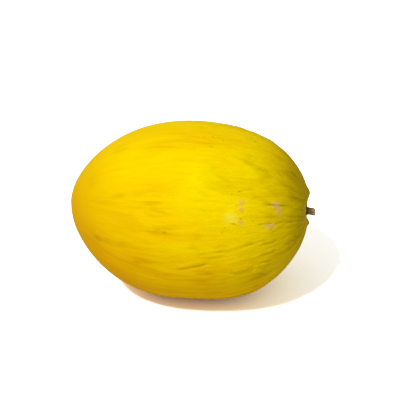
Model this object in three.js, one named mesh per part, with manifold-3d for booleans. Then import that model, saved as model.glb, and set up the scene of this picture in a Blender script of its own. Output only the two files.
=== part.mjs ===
// A whole canary melon lying on its side: an egg-shaped fruit whose shallow ribs gather into a
// puckered dimple, and the short dry stem that grows out of it.
// Millimetres, +Z up. The long axis runs along X with the stem at +X, and the origin is at the middle
// of the bounding box's underside, on the surface that the fruit rests on.
import * as THREE from "three";
import { mergeVertices } from "three/addons/utils/BufferGeometryUtils.js";
import Module from "manifold-3d";

const { degToRad, smoothstep } = THREE.MathUtils;

// The fruit
const FRUIT_LENGTH = 200.6; // end to end, before the dimple is pressed in
const FRUIT_HEIGHT = 152.6; // across the middle, upright, before the belly is pressed in
const FRUIT_WIDTH = 154.6; // across the middle, level
const TAPER = 0.037; // share of the radius that is gained evenly towards the stem end
const SHOULDER_FULLNESS = 0.103; // share that the stem half gains and the other half loses
const END_ROUNDING = 0.063; // share that both halves lose close to their ends
const BEND = 5; // how far both ends curve up from the middle

// Its belly, which the ground flattened while the fruit grew, and the true flat that it rests on
const BELLY_PRESS = 3.6; // how far the ground pushed the skin in
const BELLY_PLACE = 0.06; // axial place of the middle of the belly
const BELLY_HALF_LENGTH = 23;
const BELLY_HALF_ANGLE = 52; // degrees round the long axis
const FLAT_LEVEL = 3.9; // from the lowest point of the plain egg up to the flat

// Its shallow ribs: each wave has a number of crests round the fruit and a share of the height
const RIB_HEIGHT = 0.5;
const RIB_WAVES = [
  { crests: 9, share: 0.6, turn: 0.6 },
  { crests: 14, share: 0.4, turn: 2.1 },
];
const RIBS_START = -0.3; // axial place, from -1 at the blossom end to 1 at the stem end
const RIBS_FULL = 0.85;

// The dimple at the stem end, and the knuckles of skin that stand round it. An angle goes round the
// long axis, from level at the back towards the top, and a reach is the distance from that axis.
const DIMPLE_DEPTH = 3.4;
const DIMPLE_RADIUS = 8.5;
const KNUCKLES = [
  { angle: 63, reach: 16.5, height: 2, radius: 5 },
  { angle: 118, reach: 15, height: 1.2, radius: 5 },
  { angle: 163, reach: 16, height: 1.5, radius: 5.5 },
  { angle: 207, reach: 13, height: 1.1, radius: 4.5 },
  { angle: 243, reach: 8.8, height: 2.4, radius: 2.4 },
  { angle: 290, reach: 15, height: 0.6, radius: 5 },
  { angle: 352, reach: 17, height: 0.5, radius: 5 },
];

// The low button that the flower leaves at the other end
const BLOSSOM_BUTTON_HEIGHT = 0.8;
const BLOSSOM_BUTTON_RADIUS = 5;

// The stem
const STEM_LENGTH = 12; // from the root to the cut end
const STEM_SUNK = 2.2; // the length of the root that sits in the fruit
const STEM_RADIUS = 2.9; // at the waist
const STEM_FLARE = 1.8; // added to the radius at the root
const STEM_FLARE_LENGTH = 3.4;
const STEM_KNOB = 0.45; // added to the radius at the cut end
const STEM_RIDGES = 5;
const STEM_RIDGE_HEIGHT = 0.28;
const STEM_DROOP = 4; // degrees below level
const STEM_SAG = 0.5; // how far the tip falls below the root's own line
const STEM_CUT_HOLLOW = 0.35; // how far the pith has dried back in the cut end
const SEAT_GAP = 0.3; // all round the root, between the stem and its seat in the fruit

// How finely the skin is divided
const FRUIT_AROUND = 80;
const FRUIT_ALONG = 44;
const RING_CROWDING = 0.35; // 0 spaces the rings evenly, and 0.5 crowds them most at the two ends
const STEM_AROUND = 30;
const STEM_ALONG = 8;

const fruitSkin = new THREE.MeshStandardMaterial({ color: 0xf0c60a, roughness: 0.48, metalness: 0 });
const stemBark = new THREE.MeshStandardMaterial({ color: 0x8f7259, roughness: 0.85, metalness: 0 });

const wasm = await Module();
wasm.setup();

// The fruit's radius at axial place u, as a share of its radius at the middle.
function girth(u) {
  return Math.sqrt(1 - u * u) * (1 + TAPER * u + SHOULDER_FULLNESS * u ** 3 - END_ROUNDING * u ** 6);
}

function ribHeight(u, angle) {
  const wave = RIB_WAVES.reduce((sum, w) => sum + w.share * Math.cos(w.crests * angle + w.turn), 0);
  return RIB_HEIGHT * smoothstep(u, RIBS_START, RIBS_FULL) * Math.sqrt(girth(u)) * wave;
}

// How far the ground has pushed the belly in.
function bellyPress(u, angle) {
  const along = ((FRUIT_LENGTH / 2) * (u - BELLY_PLACE)) / BELLY_HALF_LENGTH;
  const round = Math.acos(-Math.sin(angle)) / degToRad(BELLY_HALF_ANGLE);
  return BELLY_PRESS * Math.exp(-(along ** 2) - round ** 2);
}

// A smooth round bump of that height, or a hollow where it is negative, at a distance from its middle.
function bump(height, radius, distance) {
  return height * Math.exp(-((distance / radius) ** 2));
}

// How far the skin stands out along the long axis past the plain egg, at y and z from that axis.
function stemEndRelief(y, z) {
  const dimple = bump(-DIMPLE_DEPTH, DIMPLE_RADIUS, Math.hypot(y, z));
  return KNUCKLES.reduce((sum, { angle, reach, height, radius }) => {
    const away = Math.hypot(y - reach * Math.cos(degToRad(angle)), z - reach * Math.sin(degToRad(angle)));
    return sum + bump(height, radius, away);
  }, dimple);
}

function blossomEndRelief(y, z) {
  return -bump(BLOSSOM_BUTTON_HEIGHT, BLOSSOM_BUTTON_RADIUS, Math.hypot(y, z));
}

// The point of the skin at axial place u and at an angle round the long axis, with the flat on z = 0.
function skinPoint(u, angle) {
  const relief = ribHeight(u, angle) - bellyPress(u, angle);
  const y = ((girth(u) * FRUIT_WIDTH) / 2 + relief) * Math.cos(angle);
  const z = ((girth(u) * FRUIT_HEIGHT) / 2 + relief) * Math.sin(angle);
  const endRelief = u > 0 ? stemEndRelief(y, z) : blossomEndRelief(y, z);
  return new THREE.Vector3(
    (FRUIT_LENGTH / 2) * u + endRelief,
    y,
    z + FRUIT_HEIGHT / 2 - FLAT_LEVEL + BEND * u * u,
  );
}

// A sphere whose poles go to the fruit's two ends, with each point moved to its place on the skin.
function eggGeometry() {
  const geometry = new THREE.SphereGeometry(1, FRUIT_AROUND, FRUIT_ALONG);
  const position = geometry.getAttribute("position");
  const p = new THREE.Vector3();
  for (let i = 0; i < position.count; i++) {
    p.fromBufferAttribute(position, i);
    const even = Math.acos(p.y);
    const polar = even - RING_CROWDING * Math.sin(2 * even);
    const skin = skinPoint(Math.cos(polar), Math.atan2(p.x, p.z));
    position.setXYZ(i, skin.x, skin.y, skin.z);
  }
  return geometry;
}

function stemRadius(along, angle) {
  const flare = bump(STEM_FLARE, STEM_FLARE_LENGTH, along);
  const knob = STEM_KNOB * smoothstep(along, STEM_LENGTH * 0.6, STEM_LENGTH);
  return STEM_RADIUS + flare + knob + STEM_RIDGE_HEIGHT * Math.cos(STEM_RIDGES * angle);
}

// The stem along +X from the middle of its root, made larger by clearance at its side and its root.
function stemGeometry(clearance) {
  const geometry = new THREE.CylinderGeometry(1, 1, STEM_LENGTH, STEM_AROUND, STEM_ALONG);
  const position = geometry.getAttribute("position");
  const p = new THREE.Vector3();
  for (let i = 0; i < position.count; i++) {
    p.fromBufferAttribute(position, i);
    const along = p.y + STEM_LENGTH / 2;
    const onAxis = Math.hypot(p.x, p.z) < 0.5;
    const radius = onAxis ? 0 : stemRadius(along, Math.atan2(p.x, p.z)) + clearance;
    const hollow = onAxis && along > 0 ? STEM_CUT_HOLLOW : 0;
    const rootClearance = along > 0 ? 0 : clearance;
    const sag = STEM_SAG * (along / STEM_LENGTH) ** 2;
    position.setXYZ(i, along - hollow - rootClearance, p.z * radius, p.x * radius - sag);
  }
  return geometry;
}

// Puts the stem, or the tool that cuts its seat, where the stem grows.
function placeAtStem(mesh) {
  mesh.position.copy(skinPoint(1, 0));
  mesh.position.x -= STEM_SUNK;
  mesh.rotation.y = degToRad(STEM_DROOP);
  mesh.updateMatrix();
  return mesh;
}

// A mesh's closed surface, where it is placed, as a solid that can be cut.
function solidOf(mesh) {
  const surface = mesh.geometry.clone().applyMatrix4(mesh.matrix);
  surface.deleteAttribute("normal");
  surface.deleteAttribute("uv");
  const merged = mergeVertices(surface);
  return new wasm.Manifold(
    new wasm.Mesh({
      numProp: 3,
      vertProperties: merged.getAttribute("position").array,
      triVerts: new Uint32Array(merged.index.array),
    }),
  );
}

function geometryOf(solid) {
  const { vertProperties, triVerts } = solid.getMesh();
  const geometry = new THREE.BufferGeometry();
  geometry.setAttribute("position", new THREE.BufferAttribute(vertProperties, 3));
  geometry.setIndex(new THREE.BufferAttribute(triVerts, 1));
  return geometry;
}

// A block whose top is the surface that the fruit rests on.
function groundBlock() {
  const block = new THREE.Mesh(new THREE.BoxGeometry(FRUIT_LENGTH, FRUIT_WIDTH, FRUIT_HEIGHT));
  block.position.z = -FRUIT_HEIGHT / 2;
  block.updateMatrix();
  return block;
}

function makeFruitBody() {
  const seatCutter = placeAtStem(new THREE.Mesh(stemGeometry(SEAT_GAP)));
  const solid = solidOf(new THREE.Mesh(eggGeometry()))
    .subtract(solidOf(groundBlock()))
    .subtract(solidOf(seatCutter));
  const mesh = new THREE.Mesh(geometryOf(solid), fruitSkin);
  mesh.name = "fruit_body";
  return mesh;
}

function makeStem() {
  const mesh = placeAtStem(new THREE.Mesh(stemGeometry(0), stemBark));
  mesh.name = "stem";
  return mesh;
}

const melon = new THREE.Group();
melon.add(makeFruitBody(), makeStem());

// Brings the middle of the bounding box's underside to the origin.
const middle = new THREE.Box3().setFromObject(melon, true).getCenter(new THREE.Vector3());
melon.position.set(-middle.x, -middle.y, 0);

export default melon;
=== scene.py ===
# A whole canary melon lying on its side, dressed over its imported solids: the waxy, wrinkled rind and
# the short dry stem. Metres, +Z up, with the long axis along X and the stem at +X.
import math
from collections import namedtuple

import bpy
import numpy as np
from mathutils import Matrix, Vector, noise


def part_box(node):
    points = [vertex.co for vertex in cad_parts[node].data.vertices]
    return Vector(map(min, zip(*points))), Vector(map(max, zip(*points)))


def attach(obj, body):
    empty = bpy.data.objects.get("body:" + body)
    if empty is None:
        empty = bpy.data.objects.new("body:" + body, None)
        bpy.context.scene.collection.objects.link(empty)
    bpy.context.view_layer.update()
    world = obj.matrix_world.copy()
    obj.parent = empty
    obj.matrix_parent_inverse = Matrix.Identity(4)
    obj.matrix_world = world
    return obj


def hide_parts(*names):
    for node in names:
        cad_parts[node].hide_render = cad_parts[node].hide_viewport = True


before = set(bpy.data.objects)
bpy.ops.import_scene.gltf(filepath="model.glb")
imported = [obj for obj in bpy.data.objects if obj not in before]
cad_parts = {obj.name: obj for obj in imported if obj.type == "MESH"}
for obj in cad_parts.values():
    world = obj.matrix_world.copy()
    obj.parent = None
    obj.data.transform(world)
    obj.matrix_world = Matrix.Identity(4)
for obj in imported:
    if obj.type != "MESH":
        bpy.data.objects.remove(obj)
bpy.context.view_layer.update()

# Axial place runs from -1 at the blossom end to 1 at the stem end. An angle goes round the long axis
# in degrees, from level at the back towards the top, so that 180 is the side that faces the camera.

# The plain egg, as the solid has it
FRUIT_LENGTH = 0.2006
FRUIT_HEIGHT = 0.1526
FRUIT_WIDTH = 0.1546
TAPER = 0.037  # share of the radius that is gained evenly towards the stem end
SHOULDER_FULLNESS = 0.103  # share that the stem half gains and the other half loses
END_ROUNDING = 0.063  # share that both halves lose close to their ends
BEND = 0.005  # how far both ends curve up from the middle
FLAT_LEVEL = 0.0039  # from the lowest point of the plain egg up to the flat that it rests on
FLAT_BLEND = 0.0005  # how softly the belly turns into that flat
BLOSSOM_PROUD, STEM_END_PROUD = 0.0006, 0.0013  # how far the dressed ends stand out of the solid

# Its belly, which the ground flattened while the fruit grew
BELLY_PRESS = 0.0036
BELLY_PLACE = 0.06
BELLY_HALF_LENGTH = 0.023
BELLY_HALF_ANGLE = 52

# Where the fruit is fuller or slacker than an egg: axial place, degrees from straight down, reach along
# it and in degrees, and height
SAGS = [
    (-0.70, 54, 0.34, 40, 0.0025),
    (0.62, 48, 0.28, 38, 0.0014),
    (0.55, 140, 0.35, 45, -0.0010),
]

# Its shallow ribs: crests round the fruit, height and turn of each wave
RIB_WAVES = [(9, 0.0003, 0.6), (14, 0.0002, 2.1)]
RIBS_START, RIBS_FULL = -0.3, 0.85

# The dimple at the stem end, and the knuckles and the notch in the skin round it: angle, reach, height
# and radius
DIMPLE_DEPTH, DIMPLE_RADIUS = 0.0043, 0.0085
KNUCKLES = [
    (63, 0.0157, 0.0020, 0.0048),
    (118, 0.0150, 0.0003, 0.0050),
    (150, 0.0118, -0.0046, 0.0046),
    (200, 0.0115, 0.0013, 0.0035),
    (243, 0.0095, 0.0026, 0.0028),
    (290, 0.0150, 0.0006, 0.0050),
    (352, 0.0170, 0.0005, 0.0050),
]
BUTTON_HEIGHT, BUTTON_RADIUS = 0.0008, 0.005  # what the flower left at the other end

# How finely the rind is divided
RINGS = 150
RING_POINTS = 640
RING_CROWDING = 1.25  # 1 spaces the rings evenly, and more crowds them at the stem end

# Wrinkles that come by themselves. Each set has its folds per radian round the fruit and per metre
# along it, a depth, how wide a fold is for its spacing, and where along the fruit it starts and is full.
WRINKLE_SETS = [
    dict(around=4.5, along=20, depth=0.00055, width=0.22, start=-0.40, full=0.70, seed=11),
    dict(around=8.0, along=40, depth=0.00036, width=0.20, start=-0.30, full=0.60, seed=23),
    dict(around=15, along=80, depth=0.00016, width=0.22, start=-0.20, full=0.65, seed=37),
]
WRINKLE_WANDER = 0.12  # radians that a fold strays from a straight line to the stem
WRINKLE_CALM = 0.45  # share that they lose on the side that has placed folds
WRINKLE_CALM_PLACE, WRINKLE_CALM_ANGLE = 0.45, 165  # the middle of that side
WRINKLE_CALM_REACH, WRINKLE_CALM_REACH_AROUND = 0.3, 55
SWELL_HEIGHT = 0.0006  # the broad unevenness of the whole fruit

# Where these folds, and further down the clouds, corky patches, pale patch, cracks and spots are, isn't
# typed freely. Points were picked on the photo, a scratch program turned them into places on the skin,
# and those places were rounded by hand. This is an open fault.

# Deeper folds in the side that faces the camera: depth, half width, where along the fruit each one
# starts and ends, its angles there, and how many degrees it bows between them
FOLDS = [
    # Under the middle of that side
    (0.0008, 0.0013, 0.00, 0.25, 190, 184, 0),
    (0.0004, 0.0008, 0.20, 0.35, 182, 180, 0),
    (0.0013, 0.0012, 0.40, 0.70, 194, 199, -2),
    (0.0006, 0.0010, 0.60, 0.75, 186, 186, 0),
    (0.0006, 0.0010, 0.60, 0.70, 191, 194, 0),
    (0.0006, 0.0016, 0.55, 0.65, 202, 207, 0),
    # Across its middle
    (0.0003, 0.0012, -0.05, 0.40, 174, 174, 1),
    (0.0004, 0.0010, 0.15, 0.45, 178, 177, 0),
    (0.0006, 0.0010, 0.40, 0.65, 176, 174, 0),
    (0.0007, 0.0009, 0.60, 0.75, 177, 177, 0),
    (0.0005, 0.0009, 0.70, 0.80, 169, 165, 0),
    (0.0004, 0.0009, 0.60, 0.80, 161, 162, 0),
    (0.0004, 0.0009, 0.60, 0.85, 147, 148, 0),
    # Long faint ones in the blossom half
    (0.0003, 0.0026, -0.90, -0.20, 199, 176, -6),
    (0.0003, 0.0014, -0.75, 0.15, 186, 175, -2),
    (0.0006, 0.0014, -0.60, -0.25, 147, 145, 0),
    (0.0006, 0.0012, -0.25, -0.05, 153, 156, 0),
    (0.0004, 0.0009, -0.30, -0.15, 166, 166, 0),
    (0.0003, 0.0009, 0.05, 0.35, 151, 153, 0),
    # High up towards the stem
    (0.0004, 0.0009, 0.45, 0.55, 117, 120, 0),
    (0.0006, 0.0009, 0.55, 0.65, 121, 123, 0),
    (0.0007, 0.0009, 0.70, 0.80, 119, 122, 0),
    (0.0005, 0.0009, 0.70, 0.85, 126, 129, 0),
    (0.0004, 0.0009, 0.45, 0.55, 139, 136, 0),
]
# and the fan of short ones that run into the stem
FOLDS += [(0.0008, 0.0010, 0.80, 0.95, angle, angle + 2, 0) for angle in (137, 157, 162, 169, 175, 184, 192)]
FOLD_UPPER_REACH = 2.2  # how far a fold's upper side reaches, for its lower side
FOLD_LIP = 0.55  # the bank under a fold, for the fold's depth
FOLD_LIP_PLACE = 1.8  # half widths from a fold's middle down to that bank
FOLD_STRAY = 0.010  # radians that a fold strays from its path
FOLD_SHADOW = 1.0  # half widths from a fold's middle down to its shadow, which is where the list has it

# The dry stem
STEM_LENGTH = 0.012
STEM_RADIUS = 0.0030
STEM_FLARE = 0.0018
STEM_FLARE_LENGTH = 0.0055
STEM_KNOB = 0.0006
STEM_RIDGES = 5
STEM_RIDGE_HEIGHT = 0.00030
STEM_DROOP = math.radians(4)
STEM_SAG = 0.0005
STEM_RINGS = 56
STEM_RING_POINTS = 120
STEM_CAP_RINGS = 14
STEM_HOLLOW = 0.0009  # how far the pith has dried back in the cut end
STEM_SLANT = 0.0008  # how much shorter the cut end is on its upper side
STEM_UPPER_SIDE = math.radians(63)  # the side of the tip that is shorter and narrower
STEM_TIP_TAPER, STEM_UPPER_TAPER = 0.12, 0.16  # shares that the tip narrows all round, and more there
STEM_LOBES = 7  # round the root
STEM_LOBE_HEIGHT = 0.0006
STEM_FIBRE_HEIGHT = 0.00022
STEM_KNOT_HEIGHT = 0.00035
STEM_TORN = 0.0005  # how unevenly the tip is torn off
STEM_GRAIN, STEM_GRAIN_CELLS = 0.00018, 900  # the roughness of the cut face, and its cells per metre

# The camera and the light
CAMERA_AZIMUTH = math.radians(5.8)
CAMERA_ELEVATION = math.radians(27)
CAMERA_DISTANCE = 0.802
CAMERA_LENS = 85
AIM_RIGHT, AIM_UP = 0.0094, 0.0069  # from the fruit's middle to what the camera looks at
KEY_TRAVEL = (0.475, 0.61, -1.0)  # right, away from the camera and up
KEY_STRENGTH = 1.88
KEY_SPREAD = math.radians(5.5)
WORLD_LIGHTING, WORLD_SEEN = 0.47, 1.0  # its strength as a light, and where it is seen

# The floor: its colour as it is seen, as it is mirrored, and for the light that it sends on
FLOOR_SEEN = (2.12, 2.16, 2.16, 1)
FLOOR_MIRRORED = (1.2, 1.2, 1.2, 1)
FLOOR_LIGHTING = (0.69, 0.69, 0.69, 1)
FLOOR_REACH = 4.0
FLOOR_GAP = 0.0001  # how far it lies under the fruit


def smoothstep(low, high, value):
    share = np.clip((value - low) / (high - low), 0, 1)
    return share * share * (3 - 2 * share)


def bump(height, radius, distance):
    return height * np.exp(-((distance / radius) ** 2))


def noise_at(points):
    """Smooth noise at each point, from about -1 to 1."""
    flat = points.reshape(-1, 3).tolist()
    return np.array([noise.noise(Vector(p)) for p in flat]).reshape(points.shape[:-1])


# ---------------------------------------------------------------- the rind's shape


def girth(u):
    """The radius at axial place u, as a share of the radius at the middle."""
    fullness = 1 + TAPER * u + SHOULDER_FULLNESS * u**3 - END_ROUNDING * u**6
    return np.sqrt(np.clip(1 - u * u, 0, 1)) * fullness


def rib_height(u, angle):
    strength = smoothstep(RIBS_START, RIBS_FULL, u) * np.sqrt(girth(u))
    return strength * sum(height * np.cos(crests * angle + turn) for crests, height, turn in RIB_WAVES)


def belly_press(u, angle):
    along = FRUIT_LENGTH / 2 * (u - BELLY_PLACE) / BELLY_HALF_LENGTH
    around = np.arccos(np.clip(-np.sin(angle), -1, 1)) / math.radians(BELLY_HALF_ANGLE)
    return BELLY_PRESS * np.exp(-(along**2) - around**2)


def sag(u, angle):
    down = np.degrees(np.arccos(np.clip(-np.sin(angle), -1, 1)))
    total = np.zeros_like(down)
    for place, degrees, reach, reach_around, height in SAGS:
        total = total + bump(height, 1, np.hypot((u - place) / reach, (down - degrees) / reach_around))
    return total * smoothstep(0, 0.3, girth(u))


def stem_end_relief(y, z):
    relief = bump(-DIMPLE_DEPTH, DIMPLE_RADIUS, np.hypot(y, z))
    for degrees, reach, height, radius in KNUCKLES:
        turn = math.radians(degrees)
        away = np.hypot(y - reach * math.cos(turn), z - reach * math.sin(turn))
        relief = relief + bump(height, radius, away)
    return relief


def egg(u, angle):
    """The points of the plain skin, with the ground at z = 0."""
    relief = rib_height(u, angle) - belly_press(u, angle) + sag(u, angle)
    y = (girth(u) * FRUIT_WIDTH / 2 + relief) * np.cos(angle)
    z = (girth(u) * FRUIT_HEIGHT / 2 + relief) * np.sin(angle)
    blossom_relief = -bump(BUTTON_HEIGHT, BUTTON_RADIUS, np.hypot(y, z))
    x = FRUIT_LENGTH / 2 * u + np.where(u > 0, stem_end_relief(y, z), blossom_relief)
    return np.stack([x, y, z + FRUIT_HEIGHT / 2 - FLAT_LEVEL + BEND * u * u], axis=-1)


def lengthwise_noise(polar, angle, around, along, seed):
    """Noise drawn out along the fruit, which closes on itself round it and gathers at its ends."""
    lengthwise = polar * FRUIT_LENGTH / 2 * along + seed
    return noise_at(np.stack([lengthwise, around * np.cos(angle), around * np.sin(angle)], axis=-1))


def wrinkles(polar, angle):
    """How far the natural folds sink in."""
    u = np.cos(polar)
    wander = WRINKLE_WANDER * lengthwise_noise(polar, angle, 1.6, 22, 3)
    depth = np.zeros_like(polar)
    for s in WRINKLE_SETS:
        line = lengthwise_noise(polar, angle + wander, s["around"], s["along"], s["seed"])
        patch = lengthwise_noise(polar, angle, s["around"] * 0.5, s["along"] * 0.8, s["seed"] + 50)
        strength = 0.10 * smoothstep(-0.9, -0.3, u) + 0.90 * smoothstep(s["start"], s["full"], u)
        strength = strength * smoothstep(-0.30, 0.30, patch)
        depth = depth + s["depth"] * strength * np.exp(-((line / s["width"]) ** 2))
    away = (u - WRINKLE_CALM_PLACE) / WRINKLE_CALM_REACH
    turned = (np.degrees(angle) - WRINKLE_CALM_ANGLE) / WRINKLE_CALM_REACH_AROUND
    calm = bump(WRINKLE_CALM, 1, np.hypot(away, turned))
    return depth * smoothstep(0.03, 0.45, girth(u)) * (1 - calm)


def placed_folds(polar, angle):
    """How far the skin sinks in at the folds in the list, and rises beside them."""
    u = np.cos(polar)
    stray = FOLD_STRAY * lengthwise_noise(polar, angle, 2.5, 70, 91)
    uneven = 0.75 + 1.1 * lengthwise_noise(polar, angle, 3, 110, 95)
    depth = np.zeros_like(polar)
    for fold_depth, half_width, start, end, first, last, bow in FOLDS:
        share = np.clip((u - start) / (end - start), 0, 1)
        path = first + (last - first) * share + bow * 4 * share * (1 - share)
        across = (angle + stray - np.radians(path)) * girth(u) * FRUIT_HEIGHT / 2 / half_width + FOLD_SHADOW
        taper = np.sqrt(np.clip(4 * share * (1 - share), 0, 1)) * ((u > start) & (u < end))
        steepness = np.where(across < 0, FOLD_UPPER_REACH, 1)
        groove = bump(1, steepness, across)
        bank = bump(FOLD_LIP, 1, across - FOLD_LIP_PLACE)
        depth = depth + fold_depth * uneven * taper * (groove - bank)
    return depth


def ripeness_and_shade_clouds(polar, angle):
    """How much riper than its surroundings the skin is, from the patches in the list; the long one under the
    belly is painted shade.
    """
    u = np.cos(polar)
    total = np.zeros_like(polar)
    for place, degrees, half_length, half_width, amount in CLOUDS:
        along = FRUIT_LENGTH / 2 * (u - place) / np.sqrt(np.clip(1 - place * place, 0.2, 1)) / half_length
        turn = (np.degrees(angle) - degrees + 180) % 360 - 180
        around = np.radians(turn) * girth(u) * FRUIT_HEIGHT / 2 / half_width
        total = total + amount * np.exp(-(along**2) - around**2)
    return total


def outward(points):
    """The unit normals of a grid of points whose columns go right round."""
    along = np.gradient(points, axis=0)
    around = np.roll(points, -1, axis=1) - np.roll(points, 1, axis=1)
    normal = np.cross(around, along)
    return normal / np.maximum(np.linalg.norm(normal, axis=-1, keepdims=True), 1e-12)


def fill_box(points, low, high):
    """The points, stretched a hair so that they fill the box."""
    least, most = points.reshape(-1, 3).min(0), points.reshape(-1, 3).max(0)
    return np.array(low) + (points - least) * (np.array(high) - np.array(low)) / (most - least)


def ring_places():
    """How far each ring is from the stem end, as an angle from the long axis."""
    return math.pi * np.linspace(0, 1, RINGS + 1) ** RING_CROWDING


def rind_grid():
    """The rind's points from stem end to blossom end, each one's depth in a fold, and its ripeness."""
    angle = np.linspace(0, 2 * math.pi, RING_POINTS, endpoint=False)
    polar, angle = np.meshgrid(ring_places(), angle, indexing="ij")
    u = np.cos(polar)
    plain = egg(u, angle)
    folds = wrinkles(polar, angle) + placed_folds(polar, angle)
    swell = SWELL_HEIGHT * lengthwise_noise(polar, angle, 1.1, 9, 71) * smoothstep(0, 0.5, girth(u))
    points = plain + outward(plain) * (swell - folds)[..., None]
    for row in (0, -1):
        points[row] = points[row].mean(0)
    z = points[..., 2]
    points[..., 2] = (z + np.sqrt(z * z + FLAT_BLEND**2)) / 2
    low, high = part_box("fruit_body")
    low.x -= BLOSSOM_PROUD
    high.x += STEM_END_PROUD
    return fill_box(points, low, high), folds, ripeness_and_shade_clouds(polar, angle)


def tube_mesh(name, grid, first, last):
    """A closed mesh from rings of points, with a single point at each end."""
    rings, around = grid.shape[:2]
    points = np.concatenate([[first], grid.reshape(-1, 3), [last]])
    column = np.arange(around)
    following = (column + 1) % around
    start = 1 + np.arange(rings - 1)[:, None] * around
    here, beside = start + column, start + following
    quads = np.stack([here, beside, beside + around, here + around], -1)
    end_start = 1 + (rings - 1) * around
    head = [(0, int(b) + 1, int(a) + 1) for a, b in zip(column, following)]
    tail = [(len(points) - 1, end_start + int(a), end_start + int(b)) for a, b in zip(column, following)]
    mesh = bpy.data.meshes.new(name)
    mesh.from_pydata(points.tolist(), [], head + quads.reshape(-1, 4)[:, ::-1].tolist() + tail)
    mesh.shade_smooth()
    made = bpy.data.objects.new(name, mesh)
    bpy.context.scene.collection.objects.link(made)
    return made


def add_attribute(piece, name, grid):
    """A value for each point of a mesh made from a grid whose first and last rows are single points."""
    values = np.concatenate([grid[:1, 0], grid[1:-1].ravel(), grid[-1:, 0]])
    layer = piece.data.attributes.new(name, "FLOAT", "POINT")
    layer.data.foreach_set("value", values.astype(np.float32))


# ---------------------------------------------------------------- shader helpers


def linear(hex_colour):
    """A colour as it is seen, such as "#f2c200", in the renderer's own scale."""
    parts = [int(hex_colour[i : i + 2], 16) / 255 for i in (1, 3, 5)]
    return tuple(c / 12.92 if c <= 0.04045 else ((c + 0.055) / 1.055) ** 2.4 for c in parts) + (1.0,)


def add(tree, kind, sockets=None, **settings):
    """A new node. A socket is given a value, or the output that feeds it."""
    made = tree.nodes.new(kind)
    for name, value in settings.items():
        setattr(made, name, value)
    for key, value in (sockets or {}).items():
        if isinstance(value, bpy.types.NodeSocket):
            tree.links.new(value, made.inputs[key])
        else:
            made.inputs[key].default_value = value
    return made


def calc(tree, operation, *values, clamp=False):
    sockets = dict(enumerate(values))
    return add(tree, "ShaderNodeMath", sockets, operation=operation, use_clamp=clamp).outputs[0]


def ramp_between(tree, value, low, high, to_low=0.0, to_high=1.0, smooth=True):
    sockets = {"Value": value, "From Min": low, "From Max": high, "To Min": to_low, "To Max": to_high}
    kind = "SMOOTHSTEP" if smooth else "LINEAR"
    return add(tree, "ShaderNodeMapRange", sockets, interpolation_type=kind).outputs["Result"]


def mix(tree, share, below, above, blend="MIX"):
    sockets = {0: share, 6: below, 7: above}
    return add(tree, "ShaderNodeMix", sockets, data_type="RGBA", blend_type=blend).outputs[2]


def colour_ramp(tree, value, stops):
    made = add(tree, "ShaderNodeValToRGB", {"Fac": value})
    elements = made.color_ramp.elements
    while len(elements) < len(stops):
        elements.new(0.5)
    for element, (place, colour) in zip(elements, stops):
        element.position = place
        element.color = linear(colour)
    return made.outputs["Color"]


def new_material(name, specular):
    material = bpy.data.materials.new(name)
    material.use_nodes = True
    tree = material.node_tree
    surface = tree.nodes["Principled BSDF"]
    surface.inputs["Specular IOR Level"].default_value = specular
    return material, tree, surface


# ---------------------------------------------------------------- the rind's material

# Colours along the fruit from the blossom end to the stem end
RIPENESS = [
    (0.00, "#eacd00"),
    (0.20, "#f8d800"),
    (0.55, "#fcda00"),
    (0.70, "#fcd900"),
    (0.80, "#f3d000"),
    (0.88, "#e9c600"),
    (0.94, "#dcb900"),
    (1.00, "#be9c00"),
]
GOLDEN = (0.92, 0.66, 0.5, 1)  # what the ripest skin keeps of that colour, low down partly as painted bounce light
LEMON = (1.04, 1.14, 1.5, 1)  # and the least ripe
BROWN_AND_SHADE = (0.80, 0.68, 0.5, 1)  # what the dashes and clouds keep, and the painted shade low down
DEEPER = (0.78, 0.76, 0.5, 1)  # what the fine streaks keep
SHADED = (0.55, 0.50, 0.5, 1)  # what the folds keep: partly darker skin, partly painted shade
CONTACT_SHADE = (0.80, 0.70, 0.50, 1)  # painted shade on the belly near the ground

# Soft patches of riper skin, or of paler skin where the amount is below 0, and one of painted shade:
# axial place, angle, half length, half width and amount
CLOUDS = [
    # Riper, high up from the blossom end to the stem
    (-0.75, 130, 0.008, 0.009, 0.4),
    (-0.55, 105, 0.007, 0.006, 0.5),
    (-0.20, 110, 0.012, 0.007, 0.5),
    (0.10, 105, 0.018, 0.006, 0.5),
    (0.65, 75, 0.012, 0.006, 0.8),
    (0.75, 85, 0.008, 0.005, 0.8),
    (0.75, 100, 0.009, 0.006, 0.7),
    (0.85, 110, 0.006, 0.006, 0.6),
    # Riper, across the middle of the side that faces the camera
    (-0.65, 150, 0.018, 0.005, 0.5),
    (-0.50, 160, 0.022, 0.006, 0.3),
    (-0.20, 150, 0.010, 0.008, 0.6),
    (-0.15, 165, 0.020, 0.004, 0.7),
    (0.15, 170, 0.005, 0.008, 0.4),
    (0.70, 155, 0.009, 0.004, 0.5),
    # Riper, low down
    (-0.70, 185, 0.022, 0.015, 0.5),
    (-0.60, 180, 0.016, 0.004, 0.5),
    (-0.25, 190, 0.015, 0.008, 0.5),
    (0.20, 195, 0.012, 0.006, 0.6),
    (0.60, 205, 0.009, 0.006, 0.9),
    # Painted shade, long, where the belly turns under
    (0.20, 230, 0.060, 0.007, 1.3),
    # Paler
    (-0.45, 125, 0.018, 0.016, -0.3),
    (-0.15, 120, 0.018, 0.014, -0.4),
    (0.15, 130, 0.012, 0.018, -0.9),
    (0.55, 120, 0.016, 0.014, -0.7),
    (0.05, 175, 0.012, 0.004, -0.4),
    (0.55, 200, 0.012, 0.005, -0.4),
    (0.40, 155, 0.005, 0.005, -1.0),
    (0.85, 150, 0.007, 0.003, -1.0),
]

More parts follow.
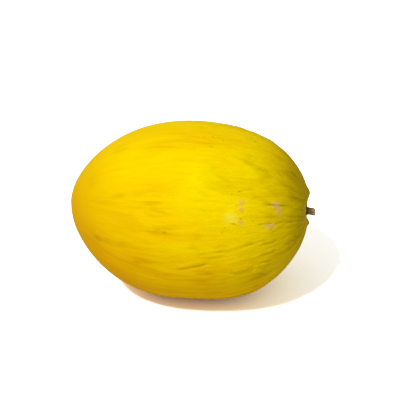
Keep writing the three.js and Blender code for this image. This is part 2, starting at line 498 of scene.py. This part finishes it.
# Corky patches where the rind has cracked and healed: axial place, angle, half length, half width, tilt
CORK_PATCHES = [
    (0.47, 146, 0.0030, 0.0025, 20),
    (0.46, 151, 0.0020, 0.0020, -10),
    (0.46, 159, 0.0025, 0.0020, 10),
    (0.73, 147, 0.0045, 0.0025, 0),
    (0.75, 152, 0.0025, 0.0030, 0),
    (0.68, 163, 0.0050, 0.0020, -5),
]

# A broad pale patch beside them, in the same terms
HALOS = [
    (0.39, 156, 0.0060, 0.0045, 0),
]

# Dark lengthwise cracks in the rind, in the same terms
CRACKS = [
    (0.68, 147, 0.0040, 0.0004, 0),
    (0.78, 147, 0.0050, 0.0004, 0),
    (0.62, 161, 0.0035, 0.0003, 0),
    (0.69, 161, 0.0035, 0.0003, 0),
    (0.76, 162, 0.0035, 0.0003, 0),
    (0.42, 160, 0.0025, 0.0004, -10),
    (0.45, 139, 0.0020, 0.0004, 15),
    (0.60, 121, 0.0030, 0.0002, -20),
    (0.75, 120, 0.0035, 0.0002, -20),
    (0.80, 128, 0.0045, 0.0002, -10),
]

# Small brown spots: axial place, angle and radius
SPOTS = [
    (-0.12, 166, 0.0015),
    (0.20, 109, 0.0012),
    (0.14, 101, 0.0010),
    (0.20, 100, 0.0010),
    (0.29, 102, 0.0010),
    (0.36, 162, 0.0010),
    (0.34, 165, 0.0010),
    (0.41, 159, 0.0008),
    (0.46, 157, 0.0010),
    (0.43, 148, 0.0008),
    (0.40, 141, 0.0010),
    (0.56, 158, 0.0010),
    (0.70, 166, 0.0008),
]
SPOTS += [(0.50 + 0.04 * step, 89 + 4 * step, 0.0012) for step in range(3)]  # a short row at the top

MARK_THICKNESS = 0.006  # how far a mark reaches through the skin

# The colours of the marks, and how much of each shows
HALO_COLOUR, HALO_SHARE = "#f8de98", 0.14
CORK_COLOURS, CORK_SHARE = [(0.35, "#c4883f"), (0.50, "#dba45c"), (0.65, "#efc58c")], 0.50
ROSY_COLOUR, ROSY_SHARE = "#d0a193", 0.6  # the cork nearest the stem
SCAR_COLOUR, CRACK_SHARE, SPOT_SHARE = "#5a4207", 0.38, 0.26
STREAK_SHARE = 0.35
# The folds' share is partly darker skin and partly painted shade
FOLD_SKIN_AND_SHADE_SHARE = 0.32
OLIVE_COLOUR, OLIVE_SHARE = "#5f5410", 0.8  # round the root of the stem

# A point of the skin: itself, its axial place, a vector that goes along the fruit in metres and round it
# on a circle of radius 1, its distance from the long axis, and its height above the floor
Place = namedtuple("Place", "here u round_about reach height")
Noises = namedtuple("Noises", "blotch dash thread stray")


class Skin:
    """The finished rind, so that marks can be placed on it."""

    def __init__(self, points):
        self.points = points
        self.axial = np.cos(ring_places())

    def mark_frame(self, u, degrees, tilt=0):
        """The place of a mark, and the turn that takes X along the fruit and Z out of it."""
        row = int(np.abs(self.axial - u).argmin())
        column = round(degrees / 360 * RING_POINTS) % RING_POINTS
        place = Vector(self.points[row, column])
        along = Vector(self.points[row - 2, column] - self.points[row + 2, column]).normalized()
        around = Vector(self.points[row, column - 2] - self.points[row, (column + 2) % RING_POINTS])
        out = along.cross(around).normalized()
        if out.dot(place - Vector((place.x, 0, self.points[0, 0, 2]))) < 0:
            out.negate()
        turned = Matrix.Rotation(math.radians(tilt), 3, out) @ along
        side = out.cross(turned).normalized()
        return place, Matrix((turned, side, out)).transposed().to_euler()


def skin_coordinates(tree):
    """Where the point being shaded is, as a Place."""
    low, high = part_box("fruit_body")
    middle = (low.x + high.x) / 2
    axis_height = FRUIT_HEIGHT / 2 - FLAT_LEVEL
    here = add(tree, "ShaderNodeTexCoord").outputs["Object"]
    parts = add(tree, "ShaderNodeSeparateXYZ", {0: here}).outputs
    u = calc(tree, "DIVIDE", calc(tree, "SUBTRACT", parts["X"], middle), (high.x - low.x) / 2)
    axis = calc(tree, "MULTIPLY_ADD", calc(tree, "MULTIPLY", u, u), BEND, axis_height)
    up = calc(tree, "SUBTRACT", parts["Z"], axis)
    spoke = add(tree, "ShaderNodeCombineXYZ", {"Y": parts["Y"], "Z": up}).outputs[0]
    unit = add(tree, "ShaderNodeVectorMath", {0: spoke}, operation="NORMALIZE").outputs[0]
    unit_parts = add(tree, "ShaderNodeSeparateXYZ", {0: unit}).outputs
    sockets = {"X": parts["X"], "Y": unit_parts["Y"], "Z": unit_parts["Z"]}
    round_about = add(tree, "ShaderNodeCombineXYZ", sockets).outputs[0]
    reach = add(tree, "ShaderNodeVectorMath", {0: spoke}, operation="LENGTH").outputs["Value"]
    return Place(here, u, round_about, reach, parts["Z"])


def drawn_noise(tree, place, along, around, detail=2.0, rough=0.5, distortion=0.0):
    """Noise round 0, drawn out along the fruit, with cells per metre along it and per radian round it.

    It fades towards the blossom end, where it would crowd together like the spokes of a wheel.
    """
    scale = (along, around, around)
    vector = add(tree, "ShaderNodeVectorMath", {0: place.round_about, 1: scale}, operation="MULTIPLY")
    sockets = {
        "Vector": vector.outputs[0],
        "Scale": 1.0,
        "Detail": detail,
        "Roughness": rough,
        "Distortion": distortion,
    }
    drawn = add(tree, "ShaderNodeTexNoise", sockets).outputs["Fac"]
    calm = ramp_between(tree, place.u, -0.95, -0.25, 0.05, 1.0)
    return calc(tree, "MULTIPLY", calc(tree, "SUBTRACT", drawn, 0.5), calm)


def even_noise(tree, place, scale, detail=2.0):
    sockets = {"Vector": place.here, "Scale": scale, "Detail": detail}
    return add(tree, "ShaderNodeTexNoise", sockets)


def ragged(tree, place, amount, scale):
    """The point, pushed about by fine noise so that a mark gets a ragged edge."""
    push = even_noise(tree, place, scale, 3.0).outputs["Color"]
    sockets = {0: push, 1: (0.5, 0.5, 0.5)}
    centred = add(tree, "ShaderNodeVectorMath", sockets, operation="SUBTRACT").outputs[0]
    sockets = {0: centred, 1: (amount, amount, amount), 2: place.here}
    return add(tree, "ShaderNodeVectorMath", sockets, operation="MULTIPLY_ADD").outputs[0]


def nearest_mark(tree, skin, point, marks):
    """1 in the middle of the nearest mark, 0 at its edge and less beyond."""
    closest = None
    for u, degrees, half_length, half_width, tilt in marks:
        place, turn = skin.mark_frame(u, degrees, tilt)
        sockets = {
            "Vector": point,
            "Location": place,
            "Rotation": turn,
            "Scale": (half_length, half_width, MARK_THICKNESS),
        }
        local = add(tree, "ShaderNodeMapping", sockets, vector_type="TEXTURE").outputs[0]
        away = add(tree, "ShaderNodeVectorMath", {0: local}, operation="LENGTH").outputs["Value"]
        closest = away if closest is None else calc(tree, "MINIMUM", closest, away)
    return calc(tree, "SUBTRACT", 1.0, closest)


def skin_noises(tree, place):
    """What breaks the rind's colours up: blotches, dashes, threads, and how far its ripeness strays."""
    blotch = even_noise(tree, place, 16.0, 3.0).outputs["Fac"]
    streak = drawn_noise(tree, place, 12.0, 5.0, detail=4.0, rough=0.6)
    dash = drawn_noise(tree, place, 38.0, 20.0, detail=3.0, rough=0.6, distortion=0.5)
    thread = drawn_noise(tree, place, 100.0, 30.0, detail=2.0, rough=0.6, distortion=0.6)
    stray = calc(tree, "ADD", calc(tree, "SUBTRACT", blotch, 0.5), streak)
    return Noises(blotch, dash, thread, stray)


def tinted(tree, share, colour, tint):
    """The colour, of which a share is multiplied by a tint."""
    return mix(tree, share, colour, mix(tree, 1.0, colour, tint, blend="MULTIPLY"))


def ripe_colour(tree, place, noises, cloud):
    """The colours of ripeness along the fruit."""
    along = calc(tree, "MULTIPLY_ADD", noises.stray, 0.04, calc(tree, "MULTIPLY_ADD", place.u, 0.5, 0.5))
    topside = ramp_between(tree, place.height, 0.075, 0.135, 0.0, 0.08)
    along = calc(tree, "MULTIPLY_ADD", topside, ramp_between(tree, place.u, 0.5, 0.9), along)
    colour = colour_ramp(tree, along, RIPENESS)

    # The blossom half and the very top have turned golden, and it is more golden the lower it lies, partly
    # its own colour and partly painted bounce light from the floor
    lowness = calc(tree, "MULTIPLY_ADD", place.height, -6.7, 0.80)
    very_top = ramp_between(tree, place.height, 0.100, 0.150, 0.0, 0.45)
    lowness = calc(tree, "MULTIPLY_ADD", very_top, ramp_between(tree, place.u, -0.6, 0.2), lowness)
    golden = calc(tree, "MULTIPLY_ADD", place.u, -0.65, lowness)
    golden = calc(tree, "MULTIPLY_ADD", noises.stray, 0.8, golden)
    golden = calc(tree, "ADD", golden, calc(tree, "MINIMUM", cloud, 0.0))
    gold_share = calc(tree, "ADD", golden, 0.0, clamp=True)
    lemon_share = calc(tree, "MULTIPLY", golden, -1.0, clamp=True)
    return tinted(tree, lemon_share, tinted(tree, gold_share, colour, GOLDEN), LEMON)


def weathered_and_shaded(tree, place, noises, cloud, stemward, colour):
    """The colour, with what has darkened it since, and painted shade low down, in folds and by the ground.
    """
    # Dashes and clouds of browner skin, and painted shade low on the side, most towards the blossom end
    broken = calc(tree, "MULTIPLY_ADD", noises.dash, 3.0, 0.7)
    clouded = calc(tree, "MULTIPLY", calc(tree, "MAXIMUM", cloud, 0.0), broken)
    low_painted_shade = ramp_between(tree, place.height, 0.105, 0.045, 0.0, 0.30)
    low_painted_shade = calc(tree, "MULTIPLY", low_painted_shade, ramp_between(tree, place.u, 0.2, -0.7, 0.45, 1.2))
    clouds_and_low_shade = calc(tree, "ADD", clouded, low_painted_shade)
    brown_and_shade_share = calc(tree, "MULTIPLY_ADD", noises.dash, 1.3, clouds_and_low_shade, clamp=True)
    colour = tinted(tree, brown_and_shade_share, colour, BROWN_AND_SHADE)

    # Fine streaks of deeper colour, stronger towards the stem
    threads = calc(tree, "MULTIPLY", ramp_between(tree, noises.thread, -0.04, 0.18), stemward)
    colour = tinted(tree, calc(tree, "MULTIPLY", threads, STREAK_SHARE), colour, DEEPER)

    # Folds are darker, partly from darker skin and partly as painted shade
    fold = add(tree, "ShaderNodeAttribute", attribute_name="fold").outputs["Fac"]
    fold_skin_and_shade = ramp_between(tree, fold, 0.00012, 0.0007)
    colour = tinted(tree, calc(tree, "MULTIPLY", fold_skin_and_shade, FOLD_SKIN_AND_SHADE_SHARE), colour, SHADED)

    # Painted shade: the belly darkens towards the ground that it lies on
    level = calc(tree, "MULTIPLY_ADD", noises.dash, 0.010, place.height)
    return tinted(tree, ramp_between(tree, level, 0.0170, 0.005), colour, CONTACT_SHADE)


def with_cork(tree, skin, place, grain, colour):
    """The colour with the pale patch and the corky ones on it, and how corky the skin is."""
    point = ragged(tree, place, 0.0050, 380.0)
    halo = ramp_between(tree, nearest_mark(tree, skin, point, HALOS), -0.4, 1.0)
    colour = mix(tree, calc(tree, "MULTIPLY", halo, HALO_SHARE), colour, linear(HALO_COLOUR))
    nearness = calc(tree, "SUBTRACT", nearest_mark(tree, skin, point, CORK_PATCHES), 0.7)
    cork = ramp_between(tree, calc(tree, "MULTIPLY_ADD", grain, 1.4, nearness), -0.5, 0.8)
    cork_colour = colour_ramp(tree, grain, CORK_COLOURS)
    stemward = ramp_between(tree, place.u, 0.50, 0.65, 0.0, ROSY_SHARE)
    cork_colour = mix(tree, stemward, cork_colour, linear(ROSY_COLOUR))
    return mix(tree, calc(tree, "MULTIPLY", cork, CORK_SHARE), colour, cork_colour), cork


def with_scars(tree, skin, place, colour):
    """The colour with the cracks and spots on it, and how deep in a crack the skin is."""
    point = ragged(tree, place, 0.0022, 600.0)
    crack = ramp_between(tree, nearest_mark(tree, skin, point, CRACKS), -0.6, 0.6)
    spots = [(u, degrees, radius, radius, 0) for u, degrees, radius in SPOTS]
    spot = ramp_between(tree, nearest_mark(tree, skin, point, spots), -0.4, 0.9)
    dark_crack = calc(tree, "MULTIPLY", crack, CRACK_SHARE)
    dark_spot = calc(tree, "MULTIPLY", spot, SPOT_SHARE)
    dark = calc(tree, "MAXIMUM", dark_crack, dark_spot)
    return mix(tree, dark, colour, linear(SCAR_COLOUR)), crack


def rind_relief(tree, place, stemward, grain, cork, crack):
    """Pores, threads, cork and cracks, which stand in the finest relief."""
    pores = even_noise(tree, place, 1100.0, 2.0).outputs["Fac"]
    crinkle = drawn_noise(tree, place, 105.0, 22.0, detail=1.5, distortion=1.0)
    furrow = ramp_between(tree, calc(tree, "ABSOLUTE", crinkle), 0.0, 0.08)
    furrow = calc(tree, "MULTIPLY", furrow, stemward)
    fine = calc(tree, "MULTIPLY_ADD", furrow, 0.65, calc(tree, "MULTIPLY", pores, 0.15))
    rough_cork = calc(tree, "MULTIPLY", cork, calc(tree, "ADD", grain, 0.3))
    height = calc(tree, "ADD", fine, rough_cork)
    height = calc(tree, "SUBTRACT", height, calc(tree, "MULTIPLY", crack, 1.2))
    sockets = {"Height": height, "Strength": 0.5, "Distance": 0.0005}
    return add(tree, "ShaderNodeBump", sockets).outputs["Normal"]


def rind_material(skin):
    material, tree, surface = new_material("rind", specular=0.006)
    place = skin_coordinates(tree)
    noises = skin_noises(tree, place)
    grain = even_noise(tree, place, 800.0, 3.0).outputs["Fac"]
    cloud = add(tree, "ShaderNodeAttribute", attribute_name="cloud").outputs["Fac"]
    stemward = ramp_between(tree, place.u, -0.4, 0.85, 0.15, 1.0)
    colour = ripe_colour(tree, place, noises, cloud)
    colour = weathered_and_shaded(tree, place, noises, cloud, stemward, colour)
    colour, cork = with_cork(tree, skin, place, grain, colour)
    colour, crack = with_scars(tree, skin, place, colour)

    # The skin is olive round the root of the stem
    ring = ramp_between(tree, place.reach, 0.013, 0.0035)
    at_stem = calc(tree, "MULTIPLY", ring, ramp_between(tree, place.u, 0.5, 0.8))
    colour = mix(tree, calc(tree, "MULTIPLY", at_stem, OLIVE_SHARE), colour, linear(OLIVE_COLOUR))
    tree.links.new(colour, surface.inputs["Base Color"])

    # A waxy sheen, dull on the cork
    sheen = calc(tree, "MULTIPLY_ADD", noises.blotch, 0.14, 0.50)
    roughness = calc(tree, "MAXIMUM", sheen, calc(tree, "MULTIPLY", cork, 0.85))
    tree.links.new(roughness, surface.inputs["Roughness"])
    normal = rind_relief(tree, place, stemward, grain, cork, crack)
    tree.links.new(normal, surface.inputs["Normal"])
    return material


def make_rind():
    points, folds, clouds = rind_grid()
    piece = tube_mesh("melon_rind", points[1:-1], points[0, 0], points[-1, 0])
    add_attribute(piece, "fold", folds)
    add_attribute(piece, "cloud", clouds)
    piece.data.materials.append(rind_material(Skin(points)))
    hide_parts("fruit_body")
    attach(piece, "root")
    return piece


# ---------------------------------------------------------------- the stem


def stem_grid():
    """The stem's rings from its root to its cut end, and on into the hollow of the pith."""
    share = np.linspace(0, 1, STEM_RINGS)
    angle = np.linspace(0, 2 * math.pi, STEM_RING_POINTS, endpoint=False)
    share, angle = np.meshgrid(share, angle, indexing="ij")
    along = share * STEM_LENGTH

    # Its side, with a lobed flare at the root and a knob at the tip
    flare = bump(STEM_FLARE, STEM_FLARE_LENGTH, along)
    lobes = bump(STEM_LOBE_HEIGHT, STEM_FLARE_LENGTH, along) * np.cos(STEM_LOBES * angle + 1.0)
    ridges = STEM_RIDGE_HEIGHT * np.cos(STEM_RIDGES * angle + 1.5 * share)
    fibres = STEM_FIBRE_HEIGHT * lengthwise_noise(along * 20, angle, 6.0, 12, 5)
    knots = STEM_KNOT_HEIGHT * lengthwise_noise(along * 60, angle, 1.6, 12, 9)
    knob = STEM_KNOB * smoothstep(0.55, 0.95, share)
    radius = STEM_RADIUS + flare + knob + ridges + lobes + fibres + knots

    # Its tip, which is torn, and narrower and shorter on its upper side
    upper = 0.5 + 0.5 * np.cos(angle - STEM_UPPER_SIDE)
    narrowing = STEM_TIP_TAPER + STEM_UPPER_TAPER * upper
    radius = radius * (1 - narrowing * smoothstep(0.86, 1.0, share))
    torn = STEM_TORN * noise_at(np.stack([3 * np.cos(angle), 3 * np.sin(angle), 0 * angle], axis=-1))
    along = along + (torn - STEM_SLANT * upper) * smoothstep(0.7, 1, share)

    # Its cut face, which sinks towards the middle
    inward = np.linspace(1, 0, STEM_CAP_RINGS + 1)[1:-1, None]
    cap_radius = radius[-1] * inward
    y, z = cap_radius * np.cos(angle[-1]), cap_radius * np.sin(angle[-1])
    grain_places = np.stack([STEM_GRAIN_CELLS * y, STEM_GRAIN_CELLS * z, 0 * z], axis=-1)
    grain = STEM_GRAIN * noise_at(grain_places)
    sunk = STEM_HOLLOW * smoothstep(1.0, 0.55, inward)
    cap_along = along[-1] * inward + along[-1].mean() * (1 - inward) - sunk + grain
    all_along = np.concatenate([along, cap_along])
    all_radius = np.concatenate([radius, cap_radius])
    all_angle = np.concatenate([angle, np.broadcast_to(angle[-1], cap_radius.shape)])
    y = all_radius * np.cos(all_angle)
    z = all_radius * np.sin(all_angle) - STEM_SAG * (all_along / STEM_LENGTH) ** 2
    x = all_along * math.cos(STEM_DROOP) + z * math.sin(STEM_DROOP)
    z = z * math.cos(STEM_DROOP) - all_along * math.sin(STEM_DROOP)
    return fill_box(np.stack([x, y, z], axis=-1), *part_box("stem"))


def stem_material():
    material, tree, surface = new_material("stem_bark", specular=0.25)
    low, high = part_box("stem")
    here = add(tree, "ShaderNodeTexCoord").outputs["Object"]
    x = add(tree, "ShaderNodeSeparateXYZ", {0: here}).outputs["X"]
    share = calc(tree, "DIVIDE", calc(tree, "SUBTRACT", x, low.x), high.x - low.x)
    sockets = {0: here, 1: (220, 1500, 1500)}
    drawn = add(tree, "ShaderNodeVectorMath", sockets, operation="MULTIPLY").outputs[0]
    fibre = add(tree, "ShaderNodeTexNoise", {"Vector": drawn, "Scale": 1.0, "Detail": 4.0}).outputs["Fac"]
    blotch = add(tree, "ShaderNodeTexNoise", {"Vector": here, "Scale": 450.0, "Detail": 3.0}).outputs["Fac"]
    wavering = calc(tree, "ADD", share, calc(tree, "MULTIPLY_ADD", blotch, 0.24, -0.12))
    stops = [(0.12, "#3b3208"), (0.41, "#4c3808"), (0.54, "#a07844"), (0.74, "#c09a6e"), (0.97, "#bba17e")]
    colour = colour_ramp(tree, wavering, stops)
    dark_fibre = calc(tree, "MULTIPLY", ramp_between(tree, fibre, 0.55, 0.35), 0.55)
    colour = mix(tree, dark_fibre, colour, linear("#46310f"))
    pale_fibre = calc(tree, "MULTIPLY", ramp_between(tree, fibre, 0.60, 0.75), 0.4)
    colour = mix(tree, pale_fibre, colour, linear("#c4a988"))
    tree.links.new(colour, surface.inputs["Base Color"])
    surface.inputs["Roughness"].default_value = 0.85
    relief = add(tree, "ShaderNodeBump", {"Height": fibre, "Strength": 0.7, "Distance": 0.0004})
    tree.links.new(relief.outputs["Normal"], surface.inputs["Normal"])
    return material


def make_stem():
    grid = stem_grid()
    piece = tube_mesh("dry_stem", grid[:-1], grid[0].mean(0), grid[-1].mean(0))
    piece.data.materials.append(stem_material())
    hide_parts("stem")
    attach(piece, "root")
    return piece


# ---------------------------------------------------------------- floor, light and camera


def seen_directly(tree):
    """1 for rays from the camera, and for those that mirror or pass through something."""
    ray = add(tree, "ShaderNodeLightPath").outputs
    either = calc(tree, "MAXIMUM", ray["Is Camera Ray"], ray["Is Glossy Ray"])
    return calc(tree, "MAXIMUM", either, ray["Is Transmission Ray"])


def make_floor():
    mesh = bpy.data.meshes.new("floor")
    corners = [(x * FLOOR_REACH, y * FLOOR_REACH, 0) for x, y in ((-1, -1), (1, -1), (1, 1), (-1, 1))]
    mesh.from_pydata(corners, [], [(0, 1, 2, 3)])
    floor = bpy.data.objects.new("floor", mesh)
    floor.location.z = -FLOOR_GAP
    bpy.context.scene.collection.objects.link(floor)
    material = bpy.data.materials.new("floor")
    material.use_nodes = True
    tree = material.node_tree
    tree.nodes.remove(tree.nodes["Principled BSDF"])
    ray = add(tree, "ShaderNodeLightPath").outputs
    mirrored = calc(tree, "MAXIMUM", ray["Is Glossy Ray"], ray["Is Transmission Ray"])
    lit = mix(tree, mirrored, FLOOR_LIGHTING, FLOOR_MIRRORED)
    lit = mix(tree, ray["Is Camera Ray"], lit, FLOOR_SEEN)
    surface = add(tree, "ShaderNodeBsdfDiffuse", {"Color": lit}).outputs[0]
    under = add(tree, "ShaderNodeNewGeometry").outputs["Backfacing"]
    clear = add(tree, "ShaderNodeBsdfTransparent").outputs[0]
    both = add(tree, "ShaderNodeMixShader", {0: under, 1: surface, 2: clear}).outputs[0]
    tree.links.new(both, tree.nodes["Material Output"].inputs["Surface"])
    mesh.materials.append(material)


def make_world():
    world = bpy.data.worlds.new("studio")
    bpy.context.scene.world = world
    world.use_nodes = True
    tree = world.node_tree
    background = tree.nodes["Background"]
    background.inputs["Color"].default_value = (1, 1, 1, 1)
    seen = seen_directly(tree)
    strength = ramp_between(tree, seen, 0.0, 1.0, WORLD_LIGHTING, WORLD_SEEN, smooth=False)
    tree.links.new(strength, background.inputs["Strength"])


def camera_axes():
    """The camera's right, up and backward directions."""
    a, e = CAMERA_AZIMUTH, CAMERA_ELEVATION
    back = Vector((math.sin(a) * math.cos(e), -math.cos(a) * math.cos(e), math.sin(e)))
    right = Vector((math.cos(a), math.sin(a), 0))
    return right, back.cross(right), back


def make_lights():
    right, _, back = camera_axes()
    away = Vector((-back.x, -back.y, 0)).normalized()
    across, onward, rise = KEY_TRAVEL
    travel = right * across + away * onward + Vector((0, 0, rise))
    key = bpy.data.lights.new("key", "SUN")
    key.energy = KEY_STRENGTH
    key.angle = KEY_SPREAD
    lamp = bpy.data.objects.new("key", key)
    lamp.rotation_euler = travel.to_track_quat("-Z", "Y").to_euler()
    bpy.context.scene.collection.objects.link(lamp)


def make_camera():
    right, up, back = camera_axes()
    low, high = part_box("fruit_body")
    middle = Vector(((low.x + high.x) / 2, 0, high.z / 2))
    camera = bpy.data.cameras.new("camera")
    camera.lens = CAMERA_LENS
    camera.sensor_width = 36
    eye = bpy.data.objects.new("camera", camera)
    eye.location = middle + right * AIM_RIGHT + up * AIM_UP + back * CAMERA_DISTANCE
    eye.rotation_euler = (-back).to_track_quat("-Z", "Y").to_euler()
    bpy.context.scene.collection.objects.link(eye)
    bpy.context.scene.camera = eye


bpy.context.scene.view_settings.view_transform = "Standard"
make_camera()
make_lights()
make_world()
make_floor()
make_rind()
make_stem()
